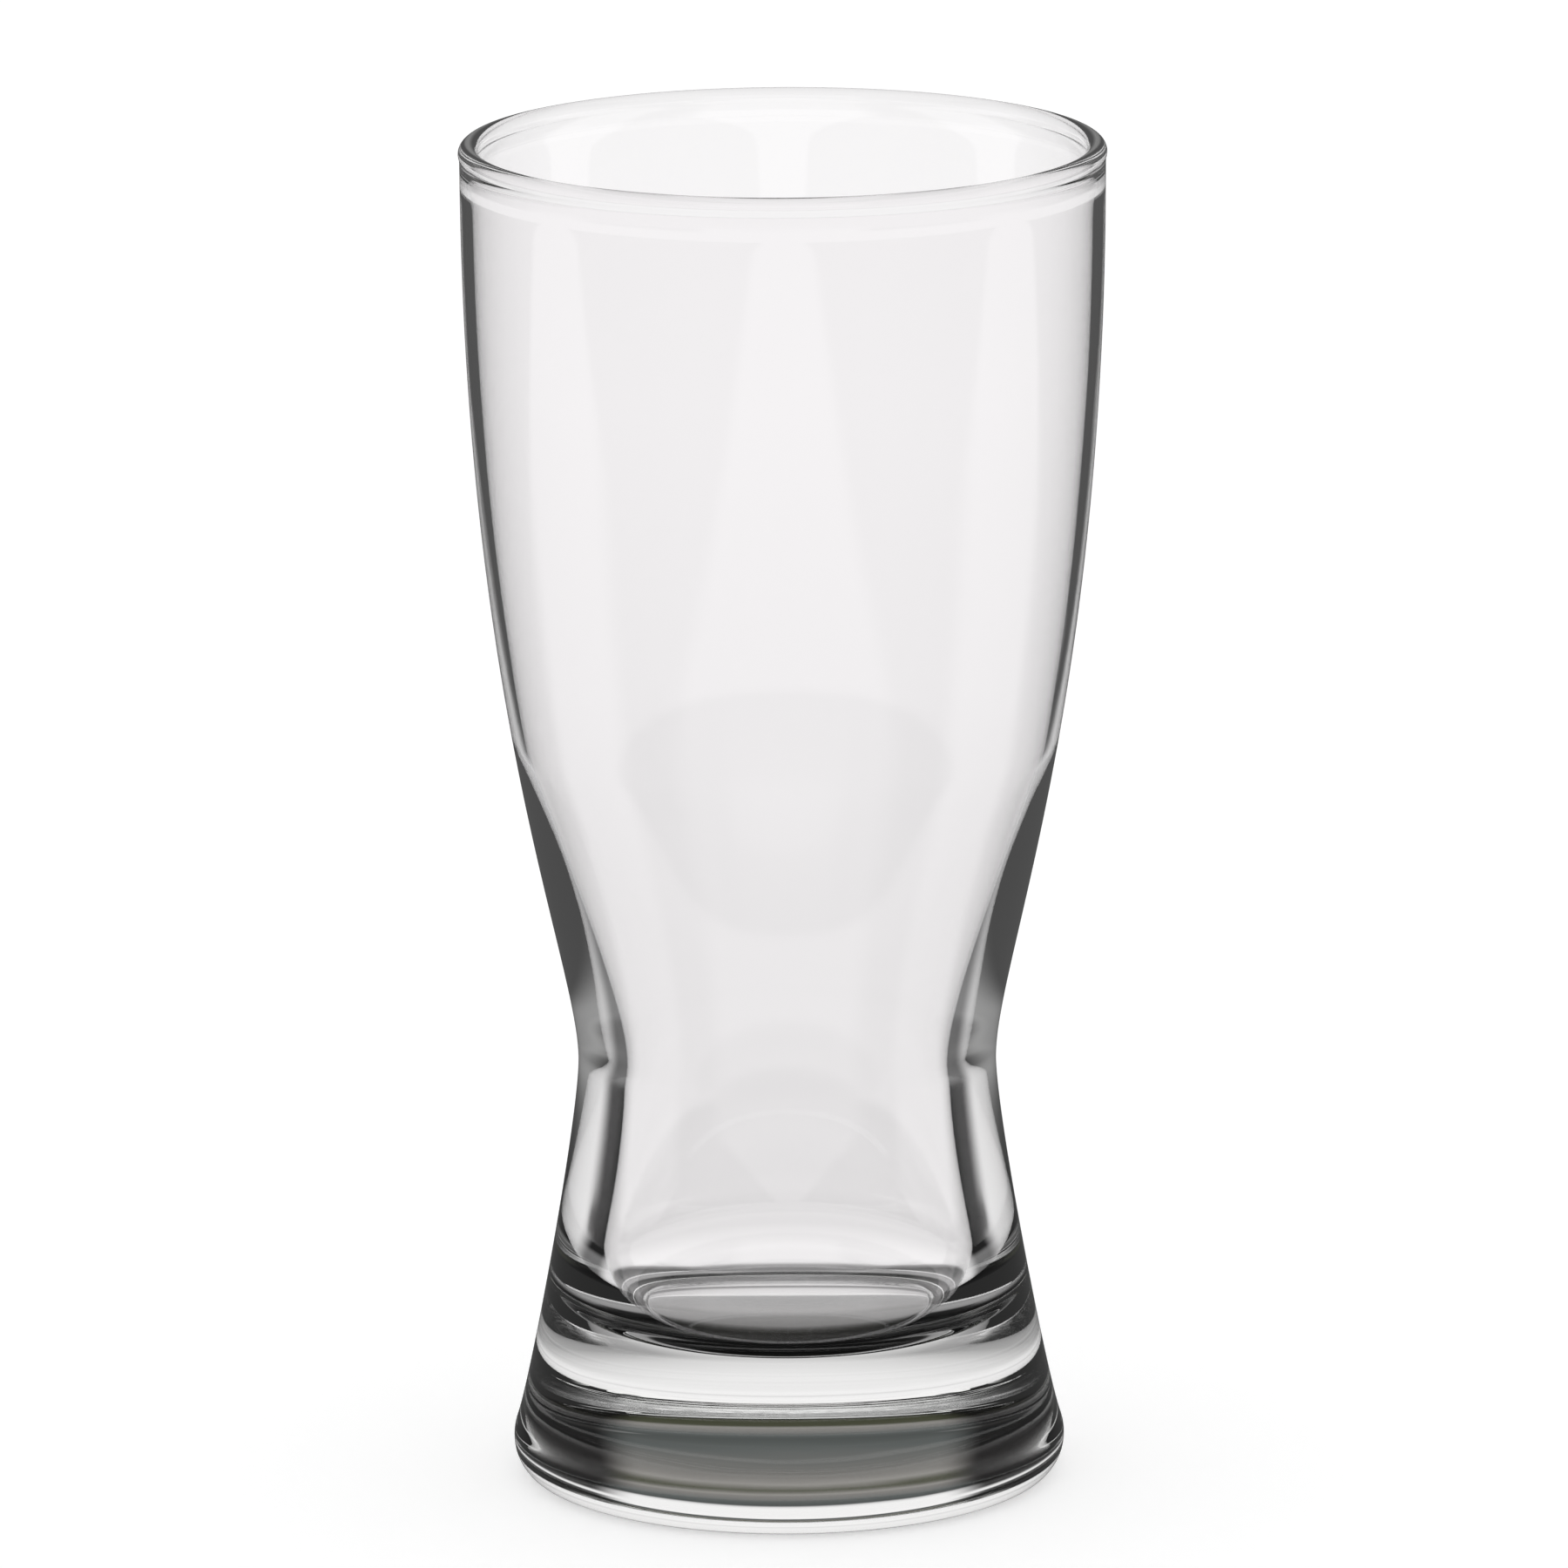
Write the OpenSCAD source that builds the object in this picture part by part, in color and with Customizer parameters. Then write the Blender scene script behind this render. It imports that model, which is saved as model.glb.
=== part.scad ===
// Hourglass pilsner glass, pressed and blown in one piece.
// The whole wall, foot and floor are one melt of clear glass, so the
// section below is drawn once and turned about the Z axis.
// Z = 0 is the table under the foot.

/* [Overall] */
// Height from the table to the top of the lip
glass_h = 149; // [120:1:200]

/* [Mouth] */
// Outside diameter of the bowl just below the lip
mouth_d = 70.2; // [60:0.1:90]
// Thickness of the round bead that the flame leaves on the lip
bead_d = 2.2; // [1.6:0.1:3]
// How far the bead stands out past the outside of the wall
bead_proud = 0.15; // [0:0.05:0.5]

/* [Waist] */
// Outside diameter at the narrowest place
waist_d = 46; // [38:0.1:54]
// Height of the narrowest place above the table
waist_z = 46.7; // [38:0.1:60]

/* [Foot] */
// Largest diameter of the foot
foot_d = 60.9; // [54:0.1:76]
// Height of the largest diameter above the table
heel_h = 3.9; // [2:0.1:8]
// How far the heel rounds in below the largest diameter
heel_w = 2.9; // [1.5:0.1:6]
// Width of the flat ring that the glass stands on
ring_w = 3.1; // [1:0.1:6]
// Depth of the hollow under the foot
punt_h = 0.8; // [0.3:0.1:4]

/* [Wall] */
// Wall of the bowl, from the lip down to about mid height
bowl_wall = 1.35; // [0.8:0.05:2.5]
// Wall of the lower chamber, below the waist
chamber_wall = 5.55; // [3:0.05:7]

/* [Floor] */
// Height of the middle of the cavity floor above the table
floor_z = 16.6; // [8:0.1:24]
// How far the edge of the floor stands above its middle
floor_dish = 0.45; // [0:0.05:2]

/* [Hidden] */

// Smoothness of the turned form and of its drawn curves
$fn = 144;
heel_steps = 10;
flare_steps = 16;
belly_steps = 36;
bead_steps = 16;
blend_steps = 6;
wall_steps = 44;
corner_steps = 16;
floor_steps = 8;
punt_steps = 8;

// Radii and heights that the section is drawn from
mouth_r = mouth_d / 2;
waist_r = waist_d / 2;
foot_r = foot_d / 2;
bead_r = bead_d / 2;
shoulder_z = glass_h - bead_d;
ring_out_r = foot_r - heel_w;
ring_in_r = ring_out_r - ring_w;

// Angle by which the heel turns past upright into the flare
heel_turn = 25;
// Lengths of the curves' handles, as shares of the stretch they belong to
flare_low_share = 0.12;
flare_top_share = 0.16;
belly_low_share = 0.113;
belly_top_share = 0.616;
// Where the wall is thin, as a share of waist to lip
thin_share = 0.36;
// Where the wall reaches its full thickness, as a share of waist to floor
thick_share = 0.54;
// Power that makes the thickening start sooner below the thin part than a plain ease does
ramp_power = 0.83;
// Where the wall of the chamber turns into the floor, as a share of floor to waist
corner_top_share = 0.37;
// Edge of the dished floor, as a share of the radius where the corner starts
floor_edge_share = 0.82;
// Handles of the corner: down from its start, and out from the floor's edge
corner_down_share = 0.62;
corner_out_share = 0.67;
// Angles round the bead at which it leaves the outside and the inside of the wall
bead_out_angle = -28;
bead_in_angle = 205;
// Height over which the bead fades into the inside of the wall, in bead thicknesses
bead_fade_share = 1.6;
// Handles of that fading, as a share of its height
fade_handle_share = 1 / 3;
// Handles of the hollow under the foot, as shares of its radius
punt_flat_share = 0.52;
punt_edge_share = 0.96;

// Point on the cubic curve from a to d with handles b and c
function curve_point(a, b, c, d, t) =
    let (s = 1 - t)
    s * s * s * a + 3 * s * s * t * b + 3 * s * t * t * c + t * t * t * d;

// Points along that curve, without its first
function curve(a, b, c, d, steps) =
    [for (i = [1:steps]) curve_point(a, b, c, d, i / steps)];

// Value that goes from 0 to 1 with no corner as u does
function eased(u) =
    let (v = min(max(u, 0), 1))
    v * v * (3 - 2 * v);

function mix(a, b, share) = a + (b - a) * share;

// Point on the rounded heel, from -90 degrees at the table upwards
function heel_point(angle) =
    [ring_out_r + heel_w * cos(angle), heel_h + heel_h * sin(angle)];

// Outside of the glass: heel, flare up to the waist, belly up to the bead
heel_points = [for (i = [0:heel_steps]) heel_point(mix(-90, heel_turn, i / heel_steps))];
flare_start = heel_point(heel_turn);
flare_rise = waist_z - flare_start[1];
flare_way = [-heel_w * sin(heel_turn), heel_h * cos(heel_turn)];
flare_points = curve(
    flare_start,
    flare_start + flare_way / norm(flare_way) * flare_rise * flare_low_share,
    [waist_r, waist_z - flare_rise * flare_top_share],
    [waist_r, waist_z],
    flare_steps);
belly_rise = shoulder_z - waist_z;
belly_points = curve(
    [waist_r, waist_z],
    [waist_r, waist_z + belly_rise * belly_low_share],
    [mouth_r, shoulder_z - belly_rise * belly_top_share],
    [mouth_r, shoulder_z],
    belly_steps);
outside = concat(heel_points, flare_points, belly_points);

// Outside radius at a height, read from the points above
function outside_r(z) = lookup(z, [for (p = outside) [p[1], p[0]]]);

// Wall measured level: thin in the bowl, then thicker down to the chamber
thin_z = mix(waist_z, shoulder_z, thin_share);
thick_z = mix(waist_z, floor_z, thick_share);
function wall_at(z) =
    let (down = max((thin_z - z) / (thin_z - thick_z), 0))
    mix(bowl_wall, chamber_wall, eased(pow(down, ramp_power)));
function inside_point(z) = [outside_r(z) - wall_at(z), z];

// Bead on the lip
bead_centre = [mouth_r + bead_proud - bead_r, glass_h - bead_r];
function bead_point(angle) = bead_centre + bead_r * [cos(angle), sin(angle)];
bead_points = [for (i = [0:bead_steps])
    bead_point(mix(bead_out_angle, bead_in_angle, i / bead_steps))];

// Inside of the bead fading into the wall
inside_top = inside_point(glass_h - bead_d - bead_d * bead_fade_share);
bead_end = bead_point(bead_in_angle);
fade_drop = (bead_end[1] - inside_top[1]) * fade_handle_share;
fade_way = [-sin(bead_in_angle), cos(bead_in_angle)];
fade_points = curve(
    bead_end,
    bead_end + fade_way * fade_drop,
    inside_top + [0, fade_drop],
    inside_top,
    blend_steps);

// Inside of the wall, from below the bead to the top of the floor's corner
corner_top_z = mix(floor_z, waist_z, corner_top_share);
wall_points = [for (i = [1:wall_steps])
    inside_point(mix(inside_top[1], corner_top_z, i / wall_steps))];

// Rounded corner between the wall and the floor
corner_top = wall_points[wall_steps - 1];
corner_way = corner_top - wall_points[wall_steps - 2];
floor_edge = [corner_top[0] * floor_edge_share, floor_z + floor_dish];
corner_drop = (corner_top_z - floor_edge[1]) * corner_down_share;
corner_run = (corner_top[0] - floor_edge[0]) * corner_out_share;
floor_slope = 2 * floor_dish / floor_edge[0];
corner_points = curve(
    corner_top,
    corner_top + corner_way / norm(corner_way) * corner_drop,
    floor_edge + corner_run * [1, floor_slope],
    floor_edge,
    corner_steps);

// Dished floor of the cavity, from its edge in to its middle
function floor_point(share) = [floor_edge[0] * share, floor_z + floor_dish * share * share];
floor_points = [for (i = [1:floor_steps]) floor_point(1 - i / floor_steps)];

// Hollow under the foot, from the axis out to the standing ring
punt_points = curve(
    [0, punt_h],
    [ring_in_r * punt_flat_share, punt_h],
    [ring_in_r * punt_edge_share, punt_h],
    [ring_in_r, 0],
    punt_steps);

// Clear glass, turned from its section
module glass() {
    color([0.84, 0.9, 0.87, 0.4])
        rotate_extrude()
            polygon(concat(
                [[0, punt_h]],
                punt_points,
                outside,
                bead_points,
                fade_points,
                wall_points,
                corner_points,
                floor_points));
}

glass();
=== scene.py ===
import bpy
import math
from mathutils import Matrix, Vector


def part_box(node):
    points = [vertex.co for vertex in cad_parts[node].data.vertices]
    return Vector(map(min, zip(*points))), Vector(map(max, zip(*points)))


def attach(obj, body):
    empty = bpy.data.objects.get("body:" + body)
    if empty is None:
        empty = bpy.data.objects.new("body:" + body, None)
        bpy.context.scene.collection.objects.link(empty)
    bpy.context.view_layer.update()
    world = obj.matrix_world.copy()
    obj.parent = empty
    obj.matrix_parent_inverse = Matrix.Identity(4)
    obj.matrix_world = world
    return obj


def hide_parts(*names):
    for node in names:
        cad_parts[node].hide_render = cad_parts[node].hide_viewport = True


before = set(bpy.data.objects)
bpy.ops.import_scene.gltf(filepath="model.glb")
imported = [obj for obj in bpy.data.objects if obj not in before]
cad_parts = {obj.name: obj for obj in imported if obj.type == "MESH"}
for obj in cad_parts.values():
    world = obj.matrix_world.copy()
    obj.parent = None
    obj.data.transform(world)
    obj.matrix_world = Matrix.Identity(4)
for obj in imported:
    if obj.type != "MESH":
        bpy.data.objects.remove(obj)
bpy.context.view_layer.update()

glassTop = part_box("glass")[1].z
mm = 0.001


# Camera: a long lens from a little above the lip
cameraSetup = {
    "distance": 1.5,          # metres from the middle of the glass
    "downTilt": 12.8,         # degrees below level
    "aimHeight": 0.52,        # share of the glass height
    "aimSide": -0.2 * mm,
    "roll": -0.3,             # degrees
    "pixelsPerMetre": 10468,  # in the 1800 pixel frame, at the aim point
    "framePixels": 1800,
    "sensorWidth": 36,
    "nearClip": 0.05,         # metres
    "farClip": 20,
}


def makeCamera(setup):
    data = bpy.data.cameras.new("photoCamera")
    data.sensor_width = setup["sensorWidth"]
    data.lens = setup["pixelsPerMetre"] * setup["distance"] / setup["framePixels"] * data.sensor_width
    data.clip_start = setup["nearClip"]
    data.clip_end = setup["farClip"]
    camera = bpy.data.objects.new("photoCamera", data)
    bpy.context.scene.collection.objects.link(camera)
    tilt = math.radians(setup["downTilt"])
    aim = Vector((setup["aimSide"], 0, glassTop * setup["aimHeight"]))
    back = Vector((0, -math.cos(tilt), math.sin(tilt)))
    turn = (-back).to_track_quat("-Z", "Y").to_matrix().to_4x4()
    roll = Matrix.Rotation(math.radians(setup["roll"]), 4, "Z")
    camera.matrix_world = Matrix.Translation(aim + back * setup["distance"]) @ turn @ roll
    bpy.context.scene.camera = camera
    print("camera: lens", round(data.lens, 1), "mm")


# Glass: the section that is turned into the whole piece
glassForm = {
    "height": glassTop,
    "mouthRadius": 35.1 * mm,
    "beadRadius": 1.1 * mm,
    "beadProud": 0.15 * mm,
    "beadOut": -28,           # degrees round the bead where it leaves the outside
    "beadIn": 205,            # and the inside
    "beadFade": 1.6,          # height over which it fades, in bead thicknesses
    "fadeHandle": 1 / 3,
    "waistRadius": 23 * mm,
    "waistHeight": 46.7 * mm,
    "footRadius": 30.45 * mm,
    "heelHeight": 3.9 * mm,
    "heelWidth": 2.9 * mm,
    "heelTurn": 25,           # degrees past upright
    "flareHandles": (0.12, 0.16),
    "bellyHandles": (0.113, 0.616),
    "ringWidth": 3.1 * mm,
    "puntHeight": 0.8 * mm,
    "puntHandles": (0.52, 0.96),
    "bowlWall": 1.35 * mm,
    "chamberWall": 5.55 * mm,
    "thinShare": 0.36,        # where the wall is thin, as a share of waist to lip
    "thickShare": 0.54,       # where it is thick, as a share of waist to floor
    "rampPower": 0.83,        # makes it thicken sooner than a plain ease does
    "cornerShare": 0.37,      # where it turns into the floor, as a share of floor to waist
    "cornerHandles": (0.62, 0.67),
    "floorShare": 0.82,       # edge of the floor, as a share of the radius above it
    "floorHeight": 16.6 * mm,
    "floorDish": 0.45 * mm,
    "steps": {"heel": 28, "flare": 40, "belly": 80, "bead": 40, "fade": 16, "wall": 110,
              "corner": 40, "floor": 20, "punt": 32, "turn": 192},
    "mergeWithin": 0.002 * mm,
}


def mix(a, b, share):
    return a + (b - a) * share


def eased(u):
    u = min(max(u, 0), 1)
    return u * u * (3 - 2 * u)


def curvePoints(a, b, c, d, steps):
    # points of a cubic curve with handles b and c, without its first
    points = []
    for i in range(1, steps + 1):
        t = i / steps
        s = 1 - t
        points.append(a * s**3 + b * 3 * s * s * t + c * 3 * s * t * t + d * t**3)
    return points


def outsidePoints(form):
    # from the standing ring up the heel, the flare and the belly to the bead
    ringRadius = form["footRadius"] - form["heelWidth"]

    def heelPoint(angle):
        return Vector((ringRadius + form["heelWidth"] * math.cos(angle),
                       form["heelHeight"] * (1 + math.sin(angle))))

    steps = form["steps"]
    turn = math.radians(form["heelTurn"])
    heel = [heelPoint(mix(-math.pi / 2, turn, i / steps["heel"])) for i in range(steps["heel"] + 1)]
    start = heel[-1]
    waist = Vector((form["waistRadius"], form["waistHeight"]))
    rise = waist.y - start.y
    low, high = form["flareHandles"]
    way = Vector((-form["heelWidth"] * math.sin(turn), form["heelHeight"] * math.cos(turn))).normalized()
    flare = curvePoints(start, start + way * rise * low,
                        waist - Vector((0, rise * high)), waist, steps["flare"])
    shoulder = Vector((form["mouthRadius"], form["height"] - 2 * form["beadRadius"]))
    rise = shoulder.y - waist.y
    low, high = form["bellyHandles"]
    belly = curvePoints(waist, waist + Vector((0, rise * low)),
                        shoulder - Vector((0, rise * high)), shoulder, steps["belly"])
    return heel + flare + belly


def radiusAt(points, z):
    # outside radius at a height, between two neighbouring points
    for low, high in zip(points, points[1:]):
        if low.y <= z <= high.y and high.y > low.y:
            return mix(low.x, high.x, (z - low.y) / (high.y - low.y))
    return points[-1].x


def wallAt(form, z):
    # thin in the bowl, then thicker down to the lower chamber
    thin = mix(form["waistHeight"], form["height"] - 2 * form["beadRadius"], form["thinShare"])
    thick = mix(form["waistHeight"], form["floorHeight"], form["thickShare"])
    down = max((thin - z) / (thin - thick), 0)
    return mix(form["bowlWall"], form["chamberWall"], eased(down ** form["rampPower"]))


def glassSection(form):
    outside = outsidePoints(form)
    steps = form["steps"]

    def insidePoint(z):
        return Vector((radiusAt(outside, z) - wallAt(form, z), z))

    beadCentre = Vector((form["mouthRadius"] + form["beadProud"] - form["beadRadius"],
                         form["height"] - form["beadRadius"]))
    bead = []
    for i in range(steps["bead"] + 1):
        angle = math.radians(mix(form["beadOut"], form["beadIn"], i / steps["bead"]))
        bead.append(beadCentre + form["beadRadius"] * Vector((math.cos(angle), math.sin(angle))))
    endWay = Vector((-math.sin(angle), math.cos(angle)))
    insideTop = insidePoint(form["height"] - 2 * form["beadRadius"] * (1 + form["beadFade"]))
    drop = (bead[-1].y - insideTop.y) * form["fadeHandle"]
    fade = curvePoints(bead[-1], bead[-1] + endWay * drop,
                       insideTop + Vector((0, drop)), insideTop, steps["fade"])
    cornerTop = mix(form["floorHeight"], form["waistHeight"], form["cornerShare"])
    wall = [insidePoint(mix(insideTop.y, cornerTop, i / steps["wall"]))
            for i in range(1, steps["wall"] + 1)]
    # corner of the cavity, then its slightly dished floor
    dish = form["floorDish"]
    edge = Vector((wall[-1].x * form["floorShare"], form["floorHeight"] + dish))
    floorWay = Vector((1, 2 * dish / edge.x))
    down, out = form["cornerHandles"]
    way = (wall[-1] - wall[-2]).normalized()
    corner = curvePoints(wall[-1], wall[-1] + way * (cornerTop - edge.y) * down,
                         edge + floorWay * (wall[-1].x - edge.x) * out, edge, steps["corner"])
    floor = []
    for i in range(1, steps["floor"] + 1):
        share = 1 - i / steps["floor"]
        floor.append(Vector((edge.x * share, form["floorHeight"] + dish * share * share)))
    ringInner = form["footRadius"] - form["heelWidth"] - form["ringWidth"]
    low, high = form["puntHandles"]
    punt = [Vector((0, form["puntHeight"]))] + curvePoints(
        Vector((0, form["puntHeight"])), Vector((ringInner * low, form["puntHeight"])),
        Vector((ringInner * high, form["puntHeight"])), Vector((ringInner, 0)), steps["punt"])
    return punt + outside + bead + fade + wall + corner + floor


def deselectAll():
    if bpy.context.object and bpy.context.object.mode != "OBJECT":
        bpy.ops.object.mode_set(mode="OBJECT")
    bpy.ops.object.select_all(action="DESELECT")


def makeGlass(form):
    deselectAll()
    section = glassSection(form)
    # a plane is merged to one vertex, which is drawn out along the section
    bpy.ops.mesh.primitive_plane_add(size=mm, location=(0, 0, 0))
    glass = bpy.context.object
    glass.name = "clearGlass"
    bpy.ops.object.mode_set(mode="EDIT")
    bpy.ops.mesh.merge(type="CENTER")
    bpy.ops.transform.translate(value=(section[0].x, 0, section[0].y))
    here = section[0]
    for point in section[1:]:
        step = point - here
        bpy.ops.mesh.extrude_region_move(TRANSFORM_OT_translate={"value": (step.x, 0, step.y)})
        here = point
    bpy.ops.mesh.select_all(action="SELECT")
    bpy.ops.mesh.spin(steps=form["steps"]["turn"], angle=math.tau, center=(0, 0, 0), axis=(0, 0, 1))
    bpy.ops.mesh.select_all(action="SELECT")
    bpy.ops.mesh.remove_doubles(threshold=form["mergeWithin"])
    bpy.ops.mesh.normals_make_consistent(inside=False)
    bpy.ops.object.mode_set(mode="OBJECT")
    bpy.ops.object.shade_smooth()
    print("glass:", len(glass.data.polygons), "faces")
    return glass


# Helpers that build nodes
def addMaths(tree, operation, *values):
    # maths node whose inputs are numbers or other nodes' outputs
    node = tree.nodes.new("ShaderNodeMath")
    node.operation = operation
    for slot, value in enumerate(values):
        if isinstance(value, (int, float)):
            node.inputs[slot].default_value = value
        else:
            tree.links.new(value, node.inputs[slot])
    return node.outputs[0]


def addProduct(tree, value, *others):
    for other in others:
        value = addMaths(tree, "MULTIPLY", value, other)
    return value


def addRemainder(tree, share):
    return addMaths(tree, "SUBTRACT", 1, share)


def addBlend(tree, a, b, share):
    # from a to b as the share goes from 0 to 1
    return addMaths(tree, "ADD", addProduct(tree, a, addRemainder(tree, share)), addProduct(tree, b, share))


def addRamp(tree, value, low, high, atLow=0, atHigh=1):
    # smooth change from atLow to atHigh while the value goes from low to high
    node = tree.nodes.new("ShaderNodeMapRange")
    node.interpolation_type = "SMOOTHSTEP"
    tree.links.new(value, node.inputs["Value"])
    for name, number in (("From Min", low), ("From Max", high), ("To Min", atLow), ("To Max", atHigh)):
        node.inputs[name].default_value = number
    return node.outputs["Result"]


def addGradient(tree, value, stops):
    # levels at given values, with a tint where one is given, blended in between
    low, high = stops[0][0], stops[-1][0]
    share = tree.nodes.new("ShaderNodeMapRange")
    tree.links.new(value, share.inputs["Value"])
    share.inputs["From Min"].default_value = low
    share.inputs["From Max"].default_value = high
    node = tree.nodes.new("ShaderNodeValToRGB")
    tree.links.new(share.outputs["Result"], node.inputs["Fac"])
    elements = node.color_ramp.elements
    elements.remove(elements[-1])
    for place, level, *tint in stops:
        element = elements[0] if place == low else elements.new((place - low) / (high - low))
        element.color = [level * part for part in (tint[0] if tint else (1, 1, 1))] + [1]
    return node.outputs["Color"]


def addColourMix(tree, share, a, b):
    # from colour a to colour b as the share goes from 0 to 1
    node = tree.nodes.new("ShaderNodeMix")
    node.data_type = "RGBA"
    tree.links.new(share, node.inputs["Factor"])
    colourSlots = [slot for slot in node.inputs if slot.type == "RGBA"]
    for slot, value in zip(colourSlots, (a, b)):
        if isinstance(value, tuple):
            slot.default_value = value
        else:
            tree.links.new(value, slot)
    return [slot for slot in node.outputs if slot.type == "RGBA"][0]


def addNoise(tree, place, scale, detail):
    noise = tree.nodes.new("ShaderNodeTexNoise")
    noise.inputs["Detail"].default_value = detail
    tree.links.new(place, noise.inputs["Vector"])
    tree.links.new(scale, noise.inputs["Scale"])
    return noise.outputs[0]


def addPlace(tree, kind):
    # place or direction of a point, whole and as its three parts
    coords = tree.nodes.new("ShaderNodeTexCoord")
    split = tree.nodes.new("ShaderNodeSeparateXYZ")
    tree.links.new(coords.outputs[kind], split.inputs[0])
    return coords.outputs[kind], split.outputs


def addTurn(tree, x, y):
    # degrees round from the Y axis, alike in all four quarters
    turn = addMaths(tree, "ARCTAN2", addMaths(tree, "ABSOLUTE", x), addMaths(tree, "ABSOLUTE", y))
    return addProduct(tree, turn, math.degrees(1))


# Finish: clear soda-lime glass with a trace of green-grey where it is thick
glassFinish = {
    "tint": (0.985, 0.975, 0.98, 1),
    "index": 1.52,            # how strongly it bends light
    "waveHeight": 0.025 * mm,
    "waveDetail": 1.5,
    "scratchDetail": 3,
    "scratchMask": (0.35, 0.65, 0.4, 1),   # two noise levels, then the share of wear at each
    "detail": {"Waves": 75, "Wave Stretch": 0.4, "Ring Top": 0.05 * mm, "Ring Fade": 0.12 * mm,
               "Ring Wear": 0.25, "Scratches": 1400},
    "absorb": (0.86, 0.88, 0.84, 1),
    "density": 4.0,           # per metre of glass
    "trappedFrom": 4.5,       # bounces after which light trapped in the wall gets out
}


def makeDetailGroup(finish):
    # faint waves from the mould, drawn out upwards, and a worn standing ring
    group = bpy.data.node_groups.new("glassDetail", "ShaderNodeTree")
    for name in finish["detail"]:
        group.interface.new_socket(name, in_out="INPUT", socket_type="NodeSocketFloat")
    for name in ("Height", "Roughness"):
        group.interface.new_socket(name, in_out="OUTPUT", socket_type="NodeSocketFloat")
    given = group.nodes.new("NodeGroupInput").outputs
    result = group.nodes.new("NodeGroupOutput").inputs
    place, (x, y, z) = addPlace(group, "Object")
    drawn = group.nodes.new("ShaderNodeCombineXYZ")
    for value, slot in zip((x, y, addProduct(group, z, given["Wave Stretch"])), drawn.inputs):
        group.links.new(value, slot)
    waves = addNoise(group, drawn.outputs[0], given["Waves"], finish["waveDetail"])
    group.links.new(waves, result["Height"])
    scratches = addNoise(group, place, given["Scratches"], finish["scratchDetail"])
    above = addMaths(group, "DIVIDE", addMaths(group, "SUBTRACT", z, given["Ring Top"]), given["Ring Fade"])
    wear = addRamp(group, scratches, *finish["scratchMask"])
    ring = addRamp(group, above, 0, 1, 1, 0)
    group.links.new(addProduct(group, ring, wear, given["Ring Wear"]), result["Roughness"])
    return group


def makeGlassMaterial(finish):
    material = bpy.data.materials.new("clearGlass")
    material.use_nodes = True
    tree = material.node_tree
    shader = tree.nodes["Principled BSDF"]
    shader.inputs["Base Color"].default_value = finish["tint"]
    shader.inputs["IOR"].default_value = finish["index"]
    shader.inputs["Transmission Weight"].default_value = 1
    detail = tree.nodes.new("ShaderNodeGroup")
    detail.node_tree = makeDetailGroup(finish)
    for name, number in finish["detail"].items():
        detail.inputs[name].default_value = number
    tree.links.new(detail.outputs["Roughness"], shader.inputs["Roughness"])
    bump = tree.nodes.new("ShaderNodeBump")
    bump.inputs["Distance"].default_value = finish["waveHeight"]
    tree.links.new(detail.outputs["Height"], bump.inputs["Height"])
    tree.links.new(bump.outputs["Normal"], shader.inputs["Normal"])
    path = tree.nodes.new("ShaderNodeLightPath")
    kept = addMaths(tree, "LESS_THAN", path.outputs["Ray Depth"], finish["trappedFrom"])
    tree.links.new(kept, shader.inputs["Alpha"])
    volume = tree.nodes.new("ShaderNodeVolumeAbsorption")
    volume.inputs["Color"].default_value = finish["absorb"]
    volume.inputs["Density"].default_value = finish["density"]
    tree.links.new(volume.outputs["Volume"], tree.nodes["Material Output"].inputs["Volume"])
    print("glass finish: index", finish["index"])
    return material


# Light's way through the glass, by how often it was thrown back and bent
lightWays = {
    "trapped": 3.5,           # thrown back more often than this, it was trapped in the wall
    "oneWall": 2.5,           # bent less often than this, it crossed one wall only
}


def addLightWay(tree, ways):
    path = tree.nodes.new("ShaderNodeLightPath").outputs
    thrown, bent = path["Glossy Depth"], path["Transmission Depth"]
    return {
        "path": path,
        "thrownBack": addMaths(tree, "MINIMUM", thrown, 1),
        "trapped": addMaths(tree, "GREATER_THAN", thrown, ways["trapped"]),
        "inside": addMaths(tree, "MINIMUM", bent, 1),
        "oneWall": addMaths(tree, "LESS_THAN", bent, ways["oneWall"]),
    }


# Table: a round white top. To light that comes through the glass it glows instead, with painted shade under
# and round its foot and, in what its inside throws back, a cloth with wood beside it and dark screens round
# about.
# Places are metres from the middle of the glass, and levels go from 0, black, to 1, white
tableSetup = {
    "radius": 1.2,
    "edges": 128,
    "gap": 0.02 * mm,             # below the standing ring
    "colour": (0.9, 0.9, 0.9, 1),
    "cameraGlow": 0.3,            # what the camera sees more than that
    "under": (0.024, 0.027),      # where the painted shade under the foot ends, and the levels of the top outwards from there, low near the foot as painted shade, with faint dips farther out
    # and the levels of the top outwards from there
    "levelsWithFootShade": ((0.025, 0), (0.028, 0.2), (0.032, 0.4), (0.036, 0.4), (0.0395, 0.88), (0.045, 1),
               (0.056, 0.95), (0.07, 0.8), (0.1, 0.88), (0.3, 0.93), (0.6, 0.98)),
    "ringShadeReach": (0.0395, 0.043), # where the dim ring of painted shade ends that shows through both walls
    "ring": 0.45,
    "clothHalf": (0.125, 0.165),  # half width at which the cloth ends
    "wood": 0.09,
    "front": (36, 53),            # degrees round from Y at which the screens begin
    "side": (64, 76),             # and at which they end
    "screen": (0.24, 0.012),      # level of the screens near the glass and farther out
    "screenReach": (0.09, 0.13),  # and where it changes
    "footShadeReach": (0.028, 0.04),   # where the painted shade round the foot ends, thrown back once and where it ends for trapped light, which finds less and less light between these places from the first of these levels to the second
    "trappedReach": (0.045, 0.065),   # and where it ends for trapped light,
    "trappedOut": (0.07, 0.17),       # which finds less and less light between these places
    "trapped": (0.42, 0.075),         # from the first of these levels to the second
    "mirrored": 0.09,             # what the outside of the glass mirrors
}


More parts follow.
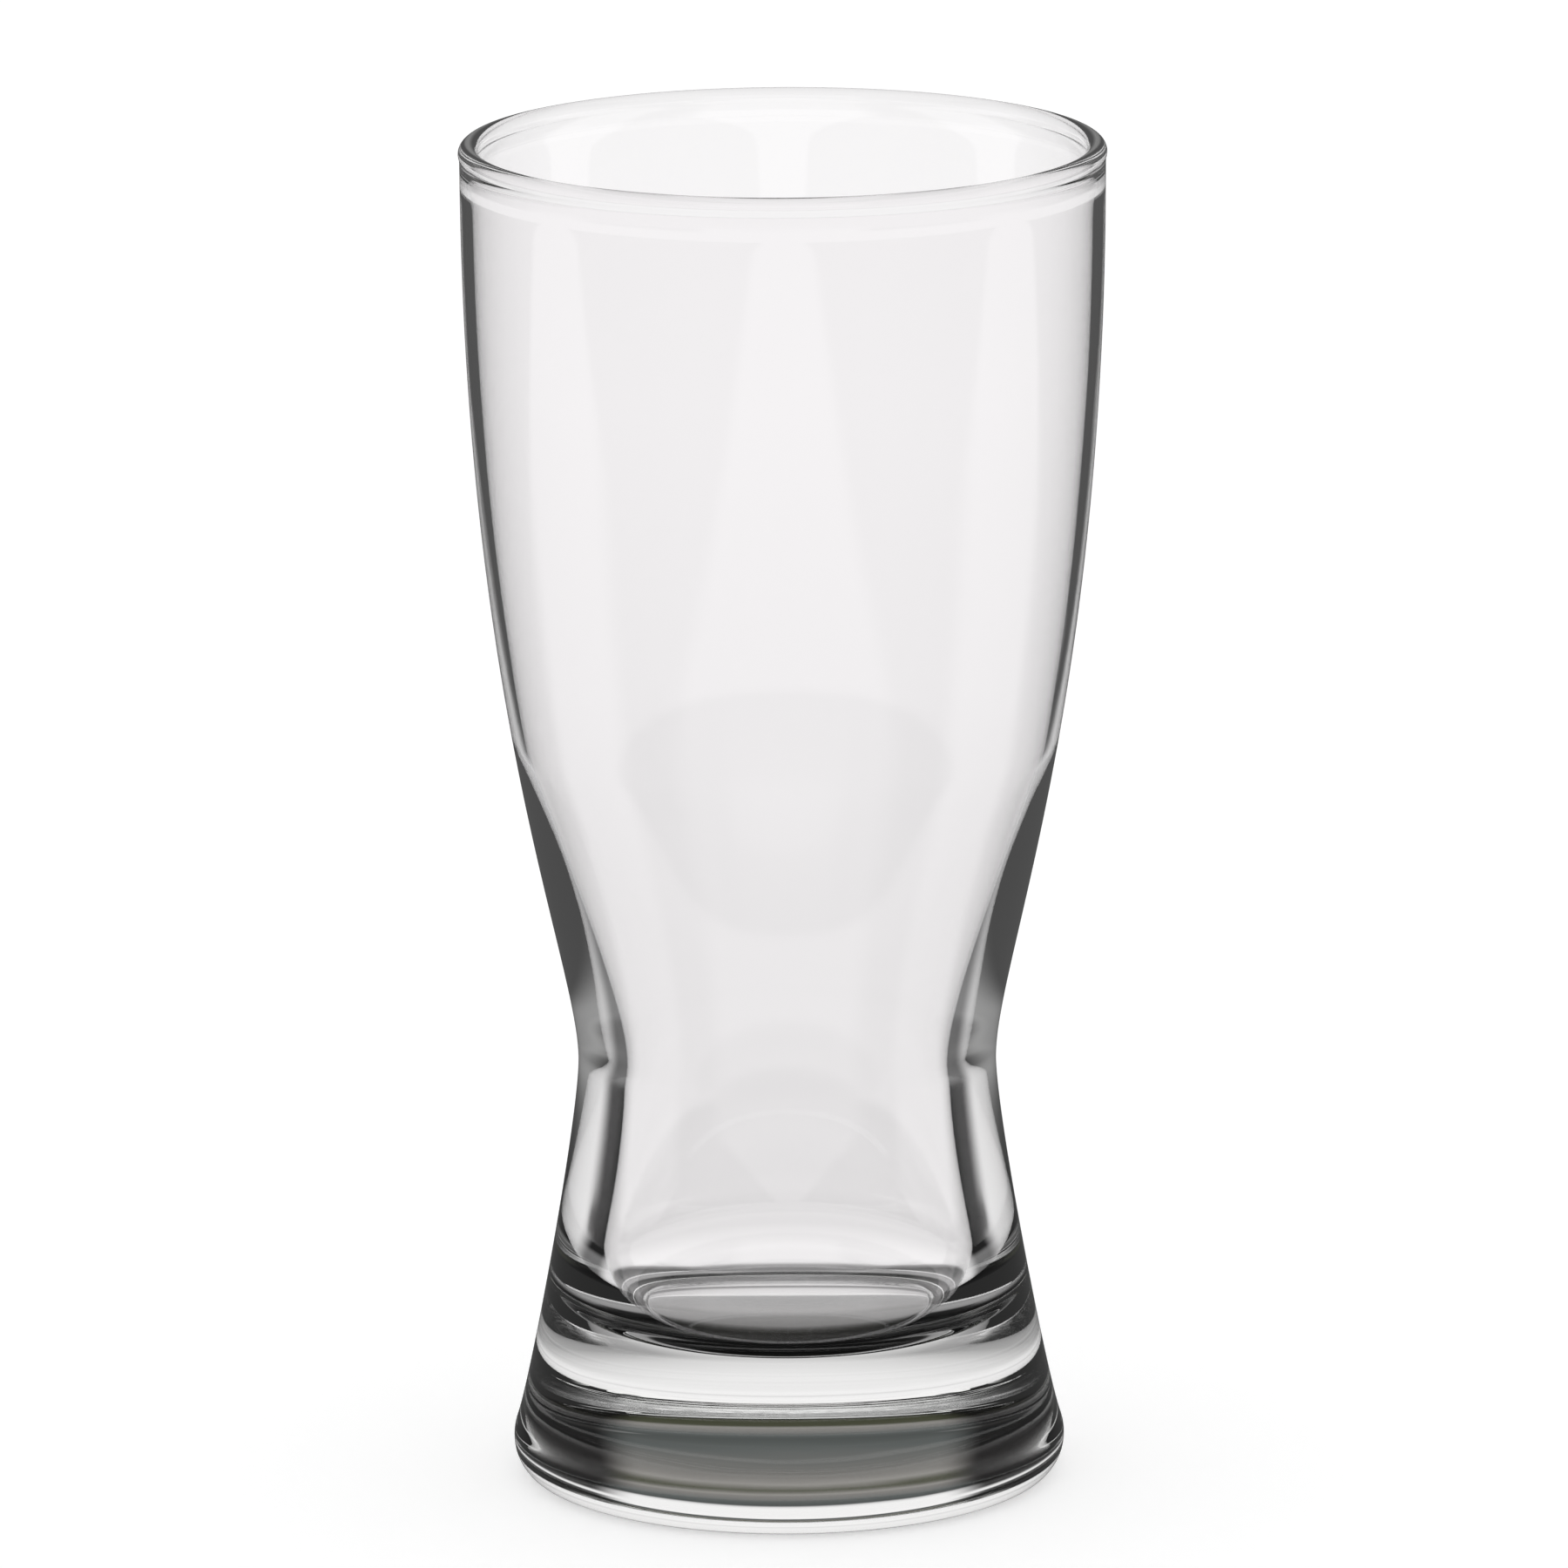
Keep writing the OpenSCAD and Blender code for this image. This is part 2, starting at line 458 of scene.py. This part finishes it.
def addTableLevel(tree, setup, way, x, y, reach):
    # level of the table as the glass shows it, with painted shade near the foot
    aside = addMaths(tree, "MINIMUM", addMaths(tree, "ABSOLUTE", x), addMaths(tree, "ABSOLUTE", y))
    cloth = addRamp(tree, aside, *setup["clothHalf"], 1, setup["wood"])
    turn = addTurn(tree, x, y)
    lit = addMaths(tree, "MAXIMUM", addRamp(tree, turn, *setup["front"], 1, 0),
                   addRamp(tree, turn, *setup["side"]))
    screens = addBlend(tree, addRamp(tree, reach, *setup["screenReach"], *setup["screen"]), 1, lit)
    # painted shade: the table is dark round the foot for light thrown back once
    foot = addRamp(tree, reach, *setup["footShadeReach"], setup["screen"][1], 1)
    farther = addProduct(tree, addRamp(tree, reach, *setup["trappedReach"]),
                         addRamp(tree, reach, *setup["trappedOut"], *setup["trapped"]))
    screened = addBlend(tree, addProduct(tree, foot, screens, cloth), farther, way["trapped"])
    once = addProduct(tree, way["thrownBack"], way["oneWall"])
    # painted shade: a dim ring round the foot for light through both walls, and darker levels near the foot
    ring = addBlend(tree, addRamp(tree, reach, *setup["ringShadeReach"], setup["ring"], 1), 1, way["oneWall"])
    levelsWithFootShade = addProduct(tree, ring, addGradient(tree, reach, setup["levelsWithFootShade"]),
                        addBlend(tree, 1, screened, once))
    return addBlend(tree, setup["mirrored"], levelsWithFootShade, way["inside"])


def makeTableMaterial(setup):
    material = bpy.data.materials.new("whiteTable")
    material.use_nodes = True
    tree = material.node_tree
    nodes, links = tree.nodes, tree.links
    nodes.remove(nodes["Principled BSDF"])
    way = addLightWay(tree, lightWays)
    path = way["path"]
    # plain white top, a little brighter to the camera
    diffuse = nodes.new("ShaderNodeBsdfDiffuse")
    diffuse.inputs["Color"].default_value = setup["colour"]
    glow = nodes.new("ShaderNodeEmission")
    links.new(addProduct(tree, path["Is Camera Ray"], setup["cameraGlow"]), glow.inputs["Strength"])
    plain = nodes.new("ShaderNodeAddShader")
    links.new(diffuse.outputs[0], plain.inputs[0])
    links.new(glow.outputs[0], plain.inputs[1])
    # what the glass shows of it, glowing with painted shade round the foot; under the foot the table opens
    # onto the dark underside of the room, which is painted shade there
    x, y = addPlace(tree, "Object")[1][:2]
    reach = addMaths(tree, "SQRT", addMaths(tree, "ADD", addProduct(tree, x, x), addProduct(tree, y, y)))
    level = nodes.new("ShaderNodeEmission")
    links.new(addTableLevel(tree, setup, way, x, y, reach), level.inputs["Strength"])
    # painted shade: under the foot the table turns clear, so the dark room below shows in place of its
    # shadow
    footShadeOpening = nodes.new("ShaderNodeBsdfTransparent")
    shown = nodes.new("ShaderNodeMixShader")
    links.new(addRamp(tree, reach, *setup["under"]), shown.inputs[0])
    links.new(footShadeOpening.outputs[0], shown.inputs[1])
    links.new(level.outputs[0], shown.inputs[2])
    choice = nodes.new("ShaderNodeMixShader")
    viaGlass = addMaths(tree, "MAXIMUM", path["Is Transmission Ray"], path["Is Glossy Ray"])
    links.new(viaGlass, choice.inputs[0])
    links.new(plain.outputs[0], choice.inputs[1])
    links.new(shown.outputs[0], choice.inputs[2])
    links.new(choice.outputs[0], nodes["Material Output"].inputs["Surface"])
    return material


def makeTable(setup):
    deselectAll()
    bpy.ops.mesh.primitive_circle_add(vertices=setup["edges"], radius=setup["radius"],
                                      fill_type="NGON", location=(0, 0, -setup["gap"]))
    table = bpy.context.object
    table.name = "whiteTable"
    bpy.ops.object.transform_apply(location=True, rotation=True, scale=True)
    table.data.materials.append(makeTableMaterial(setup))
    print("table: radius", setup["radius"], "m")


# Room: white where the camera looks straight at it and straight through the glass.
# Stops are degrees of elevation, level and tint; other places are degrees too
tealTint = (0.92, 1.02, 1)
sandTint = (1.03, 1, 0.94)
roomSetup = {
    # the underside of the room shows only through the table under the foot, where its dark levels are
    # painted shade
    "under": ((-38, 0.012), (-35.5, 0.05), (-34, 0.13), (-32.3, 0.27), (-29.5, 0.31), (-24, 0.37),
              (-20, 0.36), (-13, 0.36)),
    "steep": (-72, -60),          # elevations below which one clear wall shows it nearly white
    "steepShare": 0.85,
    "upper": ((-13, 1), (8.5, 1), (10, 0.8), (11.3, 0.09, tealTint), (14, 0.12, tealTint),
              (16, 0.17, (0.99, 1, 0.96)), (18, 0.2, sandTint), (19.5, 0.28, sandTint),
              (21.5, 0.07, (0.98, 1.04, 0.66)), (28, 0.055, (0.96, 1.04, 0.6)), (42, 0.14),
              (50, 0.2), (58, 0.66), (70, 0.85)),
    "dimLow": (10, 11.5),         # elevations at which the dim part of the room begins
    "dimLowOnce": (1, 6),         # the same for light thrown back in one wall
    "dimHigh": (42, 52),          # elevations at which it ends
    "lit": (24, 35),              # round from the Y axis, where its lit part ends
    "litSide": (70, 84),          # and where it begins again, weaker, at the sides
    "litSideLevel": 0.5,
    "unlit": 0.04,
    "dark": 0.02,                 # level that trapped light finds, and light from the foot
    "trappedHigh": (52, 66),      # elevations above which trapped light is white again
    "footHigh": (30, 38),         # elevations above which light thrown back in one wall is dark,
    "footLow": (-50, -42),        # and below which it is
    "clearLow": (19, 24),         # elevations at which the front of the room turns white, for
    "clearHigh": (38, 42),        # light that the bowl's far side throws back, and dim again
    "mirrored": 0.09,             # what the outside of the glass mirrors
}


def makeRoom(setup):
    world = bpy.data.worlds.new("studio")
    bpy.context.scene.world = world
    world.use_nodes = True
    tree = world.node_tree
    background = tree.nodes["Background"].inputs
    plainWhite = (1, 1, 1, 1)
    x, y, z = addPlace(tree, "Generated")[1]
    elevation = addProduct(tree, addMaths(tree, "ARCSINE", z), math.degrees(1))
    turn = addTurn(tree, x, y)
    way = addLightWay(tree, lightWays)
    path, oneWall, inside = way["path"], way["oneWall"], way["inside"]
    thrownBack = addMaths(tree, "SUBTRACT", way["thrownBack"], way["trapped"])
    once = addProduct(tree, thrownBack, oneWall)

    # level: dark parts first, then the dim part with its lit stretches
    high = addRamp(tree, elevation, *setup["trappedHigh"], setup["dark"], 1)
    foot = addProduct(tree, addRamp(tree, elevation, *setup["footHigh"], 1, setup["dark"]),
                      addRamp(tree, elevation, *setup["footLow"], setup["dark"], 1))
    rest = addBlend(tree, addBlend(tree, 1, high, way["trapped"]), foot, once)
    lit = addMaths(tree, "MAXIMUM", addRamp(tree, turn, *setup["lit"], 1, setup["unlit"]),
                   addRamp(tree, turn, *setup["litSide"], setup["unlit"], setup["litSideLevel"]))
    begin = addBlend(tree, addRamp(tree, elevation, *setup["dimLow"]),
                     addRamp(tree, elevation, *setup["dimLowOnce"]), once)
    dim = addProduct(tree, begin, addRamp(tree, elevation, *setup["dimHigh"], 1, 0))
    clear = addProduct(tree, addMaths(tree, "LESS_THAN", y, 0), addRemainder(tree, oneWall),
                       addRamp(tree, elevation, *setup["clearLow"]),
                       addRamp(tree, elevation, *setup["clearHigh"], 1, 0))
    dimmed = addProduct(tree, thrownBack, addRemainder(tree, clear))
    level = addBlend(tree, rest, addProduct(tree, rest, lit), addProduct(tree, dim, dimmed))

    # colour: the upper part where the glass throws light back, and the underside of the room, which shows
    # only under the foot, as painted shade
    upper = addColourMix(tree, dimmed, plainWhite, addGradient(tree, elevation, setup["upper"]))
    steep = addProduct(tree, addRemainder(tree, way["thrownBack"]), oneWall,
                       addRamp(tree, elevation, *setup["steep"], setup["steepShare"], 0))
    under = addColourMix(tree, steep, addGradient(tree, elevation, setup["under"]), plainWhite)
    above = addMaths(tree, "GREATER_THAN", elevation, setup["upper"][0][0])
    colour = addColourMix(tree, above, under, upper)

    # all of this shows only inside the glass; the camera and the table get plain white
    spread = addMaths(tree, "MINIMUM", path["Diffuse Depth"], 1)
    even = addMaths(tree, "MAXIMUM", path["Is Camera Ray"], spread)
    tinted = addProduct(tree, inside, addRemainder(tree, even))
    tree.links.new(addColourMix(tree, tinted, plainWhite, colour), background["Color"])
    seen = addBlend(tree, setup["mirrored"], level, inside)
    tree.links.new(addBlend(tree, seen, 1, even), background["Strength"])
    print("room: white studio")


makeCamera(cameraSetup)
glass = makeGlass(glassForm)
glass.data.materials.append(makeGlassMaterial(glassFinish))
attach(glass, "root")
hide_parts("glass")
makeTable(tableSetup)
makeRoom(roomSetup)
bpy.context.scene.view_settings.view_transform = "Standard"
